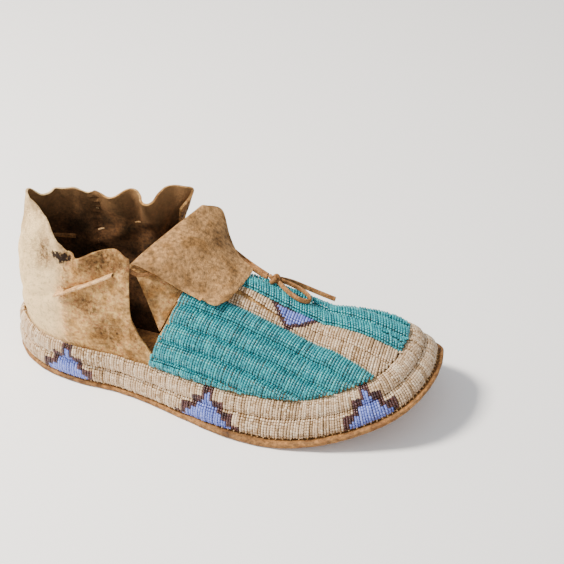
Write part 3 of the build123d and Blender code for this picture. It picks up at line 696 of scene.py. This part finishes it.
# ---- seed beads ----
# Every bead is a small barrel threaded on a strand. A strand lies across its lane and rises in the
# middle, so the lanes are humped with dark valleys between them. Tints differ from bead to bead.
BEAD_WIDTH = 1.6
BEAD_PITCH = 1.44
STRAND_PITCH = 1.68
CREAM, TURQUOISE, BLUE, MAROON = range(4)
TINTS = {
    CREAM: ["#cbb08f", "#bb9e7b", "#d9c3a5", "#a28460"],
    TURQUOISE: ["#24909a", "#187d88", "#37a3a9", "#10707a"],
    BLUE: ["#7888d6", "#6c7dca", "#8796df", "#6071bd"],
    MAROON: ["#4a2a28", "#3d2020", "#5a3330", "#31191b"],
}
TINT_SHARES = [0.42, 0.26, 0.18, 0.14]
STRAND_TINT_SHARE = 0.6     # beads that keep their strand's own tint
HUMP_POWER = 2.6


def glass(name, colour):
    """Opaque drawn glass of one tint, tumbled smooth: softly glossy, duller where it is worn."""
    material = bpy.data.materials.new(name)
    material.use_nodes = True
    tree = material.node_tree
    surface_node = tree.nodes["Principled BSDF"]
    surface_node.inputs["Base Color"].default_value = linear(colour)
    surface_node.inputs["Coat Weight"].default_value = 0.15
    surface_node.inputs["Coat Roughness"].default_value = 0.2
    place = add(tree, "ShaderNodeTexCoord").outputs["Object"]
    worn = spots(tree, place, 0.004, detail=3)
    rough = add(tree, "ShaderNodeMapRange", {"Value": worn, "To Min": 0.26, "To Max": 0.5})
    tree.links.new(rough.outputs["Result"], surface_node.inputs["Roughness"])
    return material


bead_glass = []
for kind, tints in TINTS.items():
    for number, tint in enumerate(tints):
        bead_glass.append(glass(f"bead_{('cream', 'turquoise', 'blue', 'maroon')[kind]}_{number}", tint))


def bead_template():
    """One bead along +Z with eight sides: its points and faces, for a width and length of 1."""
    profile = [(0.44, -0.50), (0.50, -0.33), (0.50, 0.33), (0.44, 0.50)]
    sides = 8
    points = []
    for radius, along_axis in profile:
        for k in range(sides):
            a = 2 * math.pi * k / sides
            points.append((radius * math.cos(a), radius * math.sin(a), along_axis))
    faces = []
    for ring in range(len(profile) - 1):
        for k in range(sides):
            a, b = ring * sides + k, ring * sides + (k + 1) % sides
            faces.append((a, b, b + sides, a + sides))
    faces.append(tuple(range(sides))[::-1])
    faces.append(tuple(len(points) - sides + k for k in range(sides)))
    return np.array(points), faces


def bead_piece(name, beads, node):
    """All the beads of a lane as one piece; a bead is (centre, strand direction, up, glass)."""
    shape, shape_faces = bead_template()
    centres = np.array([b[0] for b in beads])
    axis = np.array([b[1] for b in beads])
    axis /= np.linalg.norm(axis, axis=1, keepdims=True)
    up = np.array([b[2] for b in beads])
    up -= axis * (up * axis).sum(1, keepdims=True)
    up /= np.linalg.norm(up, axis=1, keepdims=True)
    side = np.cross(up, axis)
    count = len(beads)
    wide = BEAD_WIDTH * rng.uniform(0.95, 1.05, (count, 1, 1))
    long = BEAD_PITCH * rng.uniform(0.95, 1.04, (count, 1, 1))
    points = centres[:, None, :] + wide * shape[None, :, :1] * side[:, None, :]
    points = points + wide * shape[None, :, 1:2] * up[:, None, :]
    points = points + long * shape[None, :, 2:] * axis[:, None, :]
    faces, kinds = [], []
    for k, bead in enumerate(beads):
        first = k * len(shape)
        faces.extend(tuple(first + v for v in face) for face in shape_faces)
        kinds.extend([bead[3]] * len(shape_faces))
    new_piece(name, points.reshape(-1, 3), faces, bead_glass, nodes=[node], kinds=kinds)


def thread_beads(line, beside, hump, colour_at):
    """Beads strung evenly along a fine line over the hide; beside is the same line a step further on."""
    gone = np.concatenate([[0], np.cumsum(np.linalg.norm(np.diff(line, axis=0), axis=1))])
    count = max(round(gone[-1] / BEAD_PITCH), 1)
    share = (np.arange(count) + 0.5) / count
    centres = evenly(line, share * gone[-1])
    ahead = evenly(line, np.clip(share * gone[-1] + 0.4, 0, gone[-1]))
    behind = evenly(line, np.clip(share * gone[-1] - 0.4, 0, gone[-1]))
    forward = np.stack([np.interp(share, gone / gone[-1], (beside - line)[:, k]) for k in range(3)], 1)
    up = np.cross(forward, ahead - behind)
    up /= np.linalg.norm(up, axis=1, keepdims=True)
    found = []
    loose = rng.normal(0, 0.16)
    mostly = rng.choice(4, p=TINT_SHARES)
    for k in range(count):
        off_middle = 2 * share[k] - 1
        bow = 1 - abs(off_middle) ** HUMP_POWER
        rise = 0.05 + BEAD_WIDTH / 2 + hump * bow + loose
        shake = rng.normal(0, 0.035, 3)
        steep = math.copysign(abs(off_middle) ** (HUMP_POWER - 1), off_middle)
        tip = -2 * hump * HUMP_POWER * steep / gone[-1]
        axis = (ahead - behind)[k] / np.linalg.norm((ahead - behind)[k]) + up[k] * tip
        tint = mostly if rng.random() < STRAND_TINT_SHARE else rng.choice(4, p=TINT_SHARES)
        glass_number = colour_at(centres[k], share[k]) * 4 + tint
        found.append((centres[k] + up[k] * rise + shake, axis, up[k], glass_number))
    return found


# ---- beaded border: two lanes sewn all the way round ----
# Strands of cream beads run up the hide in two humped lanes. Blue triangles with stepped maroon
# edges stand on the sole, three each side; a triangle is its place along the sole and half its width.
STEP = 4                    # strands in one step of a triangle
BORDER_RISE = 2 * BORDER_LANE
LOWER_REACH = (0.6, 11.3)
UPPER_REACH = (11.7, 22.6)
BORDER_HUMP = 2.1
TRIANGLES = [(55, 18), (153, 20), (254, 18), (357, 18), (452, 20), (546, 18)]


def border_colour(gone, height):
    """Colour of a border bead at a length round the shoe and a height up the hide."""
    for middle, half in TRIANGLES:
        offset = abs(gone - middle)
        if offset > half + 2:
            continue
        step = STEP * STRAND_PITCH
        level = round(offset / step) * step
        top = BORDER_RISE * (1 - level / (half + step / 2))
        if height > top:
            continue
        next_top = BORDER_RISE * (1 - (level + step) / (half + step / 2))
        edge = 1.9 if level == 0 else 3.4
        inside = height < top - 4.2 and not (height > next_top - 1.4 and offset > level + step / 2 - edge)
        return BLUE if inside else MAROON
    return CREAM


def border_lanes():
    """The beads of the lower and the upper lane, strand by strand round the shoe."""
    fine = np.array([base_point(k / 40) for k in range(40 * len(OUTLINE) + 1)])
    gone = np.concatenate([[0], np.cumsum(np.linalg.norm(np.diff(fine, axis=0), axis=1))])
    count = int(gone[-1] / STRAND_PITCH)
    lower, upper = [], []
    for number in range(count):
        round_shoe = (number + 0.5) / count * gone[-1]
        t = np.interp(round_shoe, gone, np.arange(len(fine)) / 40) + rng.normal(0, 0.004)
        for found, (low, high) in ((lower, LOWER_REACH), (upper, UPPER_REACH)):
            reach = np.linspace(low + rng.normal(0, 0.12), high + rng.normal(0, 0.15), 12)

            def colour_at(place, share, low=low, high=high):
                return border_colour(round_shoe, low + (high - low) * share)

            beside = side_points(t + 0.02, reach)
            found += thread_beads(side_points(t, reach), beside, BORDER_HUMP, colour_at)
    return lower, upper


lower_beads, upper_beads = border_lanes()
bead_piece("border_lower_beads", lower_beads, "border_lane_lower")
bead_piece("border_upper_beads", upper_beads, "border_lane_upper")

# ---- beaded vamp: lengthwise lanes from the throat to the border ----
# Turquoise strands lie slantwise across each lane, and a cream stripe with one triangle runs down the
# middle. Lane edges are measured out over the hide from the stripe, a lane's width at a time.
STRIPE_OUTER = [(100, -5), (138, -7), (160, -8.5), (184, -10.5), (198, -12.5), (211, -16), (230, -20)]
STRIPE_INNER = [(100, 8), (144, 6.5), (168, 4.5), (192, 4), (208, 3), (224, 1.5), (240, 2)]
RIDGE_LINE = [(100, 2), (138, 1.8), (148, -0.5), (161, -3), (185, -3.5), (200, -5), (230, -10)]
RIDGE_BARE = [(100, 3.5), (140, 2.6), (160, 1.0), (172, 0.2)]
STRAND_SLANT = 0.37
BEAD_THROAT = [(-34, 89), (-29.5, 94), (-23.5, 99.5), (-13.5, 104.5), (-4, 107.5), (8, 109), (19, 107.5),
               (27, 103.5), (30.5, 97), (33, 90)]
WALL_FROM_TO = (21.2, 22.66)
WALL_STEP = 0.076
BORDER_TOP = np.array([side_points(k / 4, [BORDER_RISE])[0] for k in range(4 * len(OUTLINE))])


def lane_edges(x):
    """Across-the-foot positions of the lane edges at x, six lanes each side of the stripe."""
    edges = []
    for direction, start in ((-1, along(x, STRIPE_OUTER)), (1, along(x, STRIPE_INNER))):
        limit = side_at(x, direction < 0)
        across = np.arange(start, limit - direction, 0.5 * direction)
        line = np.array([(x, y, dome_height(x, y)) for y in across] + [(x, limit, sole_top(x))])
        side = evenly(line, VAMP_LANE * np.arange(7))[:, 1].tolist()
        edges = side[::-1] if direction < 0 else edges + side
    return edges


LANES_FROM, LANES_TO = 86, 246
EDGE_X = list(range(LANES_FROM, LANES_TO, 4))
EDGES = np.array([lane_edges(x) for x in EDGE_X])


def lane_edge(index):
    return lambda x: float(np.interp(x, EDGE_X, EDGES[:, index]))


def ridge_edge(side):
    return lambda x: along(x, RIDGE_LINE) + side * along(x, RIDGE_BARE) / 2


def on_vamp(place):
    """True where a bead lies in front of the throat and inside the border."""
    x, y = place[0], place[1]
    if x < along(y, BEAD_THROAT) + 0.3:
        return False
    a, b = BORDER_TOP, np.roll(BORDER_TOP, -1, axis=0)
    spans = (a[:, 1] <= y) != (b[:, 1] <= y)
    a, b = a[spans], b[spans]
    hits = a[:, 0] + (b[:, 0] - a[:, 0]) * (y - a[:, 1]) / (b[:, 1] - a[:, 1])
    if (hits > x).sum() % 2 == 0:
        return False
    return np.hypot(BORDER_TOP[:, 0] - x, BORDER_TOP[:, 1] - y).min() > 0.3


def plain_turquoise(place, share):
    return TURQUOISE


STRIPE_TRIANGLE = [(153.5, 6.0), (188.5, 6.0), (169.0, -10.5)]


def stripe_colour(place, share):
    """The stripe is cream with one triangle that spans it, point outwards."""
    edges = zip(STRIPE_TRIANGLE, STRIPE_TRIANGLE[1:] + STRIPE_TRIANGLE[:1])
    depth = 99.0
    for (ax, ay), (bx, by) in edges:
        off = ((bx - ax) * (place[1] - ay) - (by - ay) * (place[0] - ax)) / math.hypot(bx - ax, by - ay)
        depth = min(depth, -off)
    if depth < 0:
        return CREAM
    return MAROON if depth < 2.4 else BLUE


def vamp_lane(low_edge, high_edge, slant, colour_at, hump=2.5):
    """The beads of one lane, strand by strand from the throat towards the toe."""
    beads = []
    x = float(LANES_FROM)
    while x < LANES_TO:
        low, high = low_edge(x) + 0.1, high_edge(x) - 0.1
        middle = (low + high) / 2
        across = np.linspace(low, high, 25)
        if high - low < 1.2:
            x += STRAND_PITCH
            continue
        xs = x + slant * (across - middle) + rng.normal(0, 0.07)
        line = np.array([(a, y, dome_height(a, y)) for a, y in zip(xs, across)])
        beside = np.array([(a + 1, y, dome_height(a + 1, y)) for a, y in zip(xs, across)])
        x += STRAND_PITCH / np.linalg.norm(beside[12] - line[12])
        kept = np.array([on_vamp(place) for place in line])
        if kept.sum() > 2:
            beads += thread_beads(line[kept], beside[kept], hump, colour_at)
    return beads


bead_piece("stripe_beads_lateral", vamp_lane(lane_edge(6), ridge_edge(-1), 0, stripe_colour, hump=1.1),
           "stripe_row_lateral")
bead_piece("stripe_beads_medial", vamp_lane(ridge_edge(1), lane_edge(7), 0, stripe_colour, hump=1.1),
           "stripe_row_medial")
for number in range(1, 5):
    lateral = vamp_lane(lane_edge(6 - number), lane_edge(7 - number), STRAND_SLANT, plain_turquoise, hump=3.0)
    medial = vamp_lane(lane_edge(6 + number), lane_edge(7 + number), -STRAND_SLANT, plain_turquoise)
    if number == 4:             # short strands fill what is left between the last lane and the border,
                                # and on the inner side upright ones cross the steep wall above it
        for k in (0, 1):
            lateral += vamp_lane(lane_edge(k), lane_edge(k + 1), STRAND_SLANT, plain_turquoise)
            medial += vamp_lane(lane_edge(11 + k), lane_edge(12 + k), -STRAND_SLANT, plain_turquoise)
        for t in np.arange(*WALL_FROM_TO, WALL_STEP):
            reach = np.linspace(BORDER_RISE + 0.3, BORDER_RISE + 10.0, 12)
            medial += thread_beads(side_points(t, reach), side_points(t + 0.02, reach), 1.6, plain_turquoise)
    bead_piece(f"lateral_beads_{number}", lateral, f"lateral_lane_{number}")
    bead_piece(f"medial_beads_{number}", medial, f"medial_lane_{number}")

# ---- tongue and flap ----
# The tongue rises from the throat, bends along its middle and folds forward over the lace. The
# flap's back edge rolls round the fold. Both are soft pale hide with darker, handled edges.
TONGUE_SEAM = [(95, -24.5, 46), (100, -17, 57), (104, -6, 64), (105.5, 8, 67), (104, 21, 63.5),
               (100, 29, 55), (95, 31.5, 46)]
TONGUE_CREASE = [(75, -11, 80), (79.5, -2.5, 83), (84, 6, 85.5), (88.5, 15, 87.5), (93, 24, 89.5),
                 (98, 33.5, 91.5), (102, 42, 93)]
FLAP_ROWS = [
    [(77, -12, 82.5), (84, -0.5, 86.5), (90, 12, 90), (96, 26, 93), (103.5, 42.5, 95.5)],
    [(89, -13, 79), (98, -1, 85), (104, 14, 88), (108, 30, 89.5), (112, 48, 90)],
    [(101, -14, 74), (111, -4, 78.5), (117, 10, 80.5), (119.5, 25, 80.5), (120, 38, 78.5)],
    [(112, -15, 70.5), (122, -9, 71.5), (128, 5, 74), (129.5, 17, 73.8), (128.5, 29, 72.5)],
    [(119, -15.5, 68.5), (128, -16.5, 67.3), (135, -8, 69), (138.5, 6, 70), (139.5, 21, 68.5)],
]
SHEET = 1.3
HINGE_OUTER = np.array((82.6, -16.1, 67.1))
HINGE_INNER = np.array((99.3, 38.0, 75.1))
# Thinner hide than the upper: its grain side is pale and its other side is darker and yellower.
tongue_leather = leather("tongue_leather", "#d3ab74", "#a87b47", "#694a28", roughness=0.85, patch=0.012,
                         soil=0.75, depth=0.0005)
tongue_back = leather("tongue_back", "#a5835a", "#80613c", "#48331b", roughness=0.9, patch=0.012, soil=0.7)
TONGUE_ACROSS = 48


def tongue_piece():
    up = 40
    points = []
    for k in range(TONGUE_ACROSS + 1):
        u = k / TONGUE_ACROSS
        low, high = open_curve(TONGUE_SEAM, u), open_curve(TONGUE_CREASE, u)
        for m in range(up + 1):
            v = m / up * 0.97
            p = low + (high - low) * v
            lift = 2.5 * math.sin(math.pi * v) * math.sin(math.pi * u)
            crease = wrinkle(p, 10, 0.9, 2.0) * math.sin(math.pi * v)
            points.append((p[0], p[1], p[2] + lift + crease))
    piece = new_piece("tongue_hide", points, grid_faces(TONGUE_ACROSS + 1, up + 1),
                      [tongue_leather, tongue_back], body=None, nodes=["tongue_root", "tongue"])
    thicken(piece, SHEET)
    hinge = (HINGE_INNER - HINGE_OUTER) / np.linalg.norm(HINGE_INNER - HINGE_OUTER)
    rise = np.array((-17.0, 7.0, 20.5))
    rise -= hinge * (rise @ hinge)
    rise /= np.linalg.norm(rise)
    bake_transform(piece)


tongue_piece()


def flap_piece():
    forward = 56
    points = []
    for k in range(TONGUE_ACROSS + 1):
        u = k / TONGUE_ACROSS
        fold = open_curve(TONGUE_CREASE, u)
        line = [fold + (0.6, 0, -3.0), fold + (-2.4, 0, -1.4), fold + (-2.0, 0, 1.6)]
        line += [open_curve(across, u) for across in FLAP_ROWS]
        edge = 4.0 * abs(u - 0.5) ** 3
        for m in range(forward + 1):
            v = m / forward
            p = open_curve(line, v)
            free = min(max((v - 0.4) / 0.6, 0), 1)
            drape = wrinkle(p, 17, 2.0, 4.0) * free + wrinkle(p, 6, 0.5, 8.0) * free
            ragged = wrinkle((k, 0, 0), 5, 1.4, 6.0) * free ** 4
            points.append((p[0] + ragged, p[1], p[2] + drape + edge * free))
    piece = new_piece("flap_hide", points, grid_faces(TONGUE_ACROSS + 1, forward + 1),
                      [tongue_leather, tongue_back], body="flap", nodes=["tongue_flap"])
    thicken(piece, SHEET, inside_out=True)


flap_piece()

# ---- sinew: stitches of the seams ----
# Split tendon, stiff and slightly glossy, drawn tight over the side seams, round the throat and along
# the sole. Each stitch is a short thread that dives into the hide at both ends.
sinew = leather("sinew", "#d8bb8c", "#b9945f", "#6f4f2e", roughness=0.5, patch=0.003, grain=0.0004,
                depth=0.00008, soil=0.4)


def stitches(name, pairs, thick, node, arch=0.5):
    """Short arched threads, one for each pair of ends; a pair also gives its outward direction."""
    sides, steps = 8, 7
    points, faces = [], []
    for a, b, out in pairs:
        a, b, out = np.asarray(a, float), np.asarray(b, float), np.asarray(out, float)
        run = (b - a) / np.linalg.norm(b - a)
        out = out - run * (out @ run)
        out /= np.linalg.norm(out)
        side = np.cross(run, out)
        first = len(points)
        for k in range(steps):
            share = k / (steps - 1)
            centre = a + (b - a) * share + out * (arch * math.sin(math.pi * share))
            radius = thick / 2 * (0.55 + 0.45 * math.sin(math.pi * share) ** 0.5)
            for s in range(sides):
                turn = 2 * math.pi * s / sides
                points.append(centre + (side * math.cos(turn) + out * math.sin(turn)) * radius)
            if k:
                base = first + (k - 1) * sides
                faces += [(base + s, base + (s + 1) % sides, base + sides + (s + 1) % sides, base + sides + s)
                          for s in range(sides)]
        faces.append(tuple(first + s for s in range(sides))[::-1])
        faces.append(tuple(len(points) - sides + s for s in range(sides)))
    new_piece(name, points, faces, [sinew], nodes=[node])


SEAM_STITCHES = 10
THROAT_STITCHES = 10
SOLE_STITCHES = 150


def side_seam(name, place, node):
    pairs = []
    for k in range(SEAM_STITCHES):
        v = 0.44 + 0.05 * k
        a, b = quarter_point(place - 0.2, v - 0.008), quarter_point(place + 0.2, v + 0.008)
        out = np.array((0, -1 if a[1] < 0 else 1, 0))
        pairs.append((a + out * 1.7, b + out * 1.7, out))
    stitches(name, pairs, 0.9, node, arch=1.3)


side_seam("lateral_seam_sinew", LATERAL_SEAM, "lateral_seam_stitches")
side_seam("medial_seam_sinew", MEDIAL_SEAM, "medial_seam_stitches")

throat_pairs = []
for k in range(THROAT_STITCHES):
    seam = open_curve(TONGUE_SEAM, 0.3 + 0.4 * k / (THROAT_STITCHES - 1))
    hide_x = along(seam[1], THROAT) + 0.9
    throat_pairs.append(((seam[0] - 0.4, seam[1], seam[2] + 2.2),
                         (hide_x, seam[1], dome_height(hide_x, seam[1]) + 0.5), (-0.3, 0, 1)))
stitches("throat_sinew", throat_pairs, 0.9, "throat_seam_stitches", arch=1.1)

sole_pairs = []
for k in range(SOLE_STITCHES):
    t = k * len(OUTLINE) / SOLE_STITCHES
    low, high = base_point(t) - inward(t) * 1.6, base_point(t) - inward(t) * 0.5
    sole_pairs.append(((*low, sole_top(low[0]) + 0.1), (*high, sole_top(high[0]) + 1.0), (*-inward(t), 1)))
stitches("sole_seam_sinew", sole_pairs, 0.9, "sole_seam_thread", arch=0.4)

# ---- studio ----
# A matt white floor at the sole's lowest point, a warm light high behind the heel, a weak broad one
# in front, and an even pale surround.
floor_shape = bpy.data.meshes.new("floor")
floor_shape.from_pydata([(-3, -3, 0), (3, -3, 0), (3, 3, 0), (-3, 3, 0)], [], [(0, 1, 2, 3)])
floor = bpy.data.objects.new("floor", floor_shape)
floor.location.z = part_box("sole")[0].z
bpy.context.collection.objects.link(floor)
floor_paint = bpy.data.materials.new("floor")
floor_paint.use_nodes = True
floor_paint.node_tree.nodes["Principled BSDF"].inputs["Base Color"].default_value = linear("#ffffff")
floor_paint.node_tree.nodes["Principled BSDF"].inputs["Roughness"].default_value = 0.9
floor_shape.materials.append(floor_paint)


def soft_light(name, place, size, power, colour):
    shape = bpy.data.lights.new(name, "AREA")
    shape.size = size
    shape.energy = power
    shape.color = linear(colour)[:3]
    light = bpy.data.objects.new(name, shape)
    light.location = place
    light.rotation_euler = (row(120, 0, 40) - Vector(place)).to_track_quat("-Z", "Y").to_euler()
    bpy.context.collection.objects.link(light)


soft_light("key", (-0.72, -0.16, 0.95), 0.3, 36, "#fff6ea")
soft_light("front", (0.5, -1.2, 0.7), 0.9, 5, "#f4f6ff")
world = bpy.data.worlds.new("studio")
bpy.context.scene.world = world
world.use_nodes = True
world.node_tree.nodes["Background"].inputs["Color"].default_value = linear("#f3f4f6")
world.node_tree.nodes["Background"].inputs["Strength"].default_value = 0.68
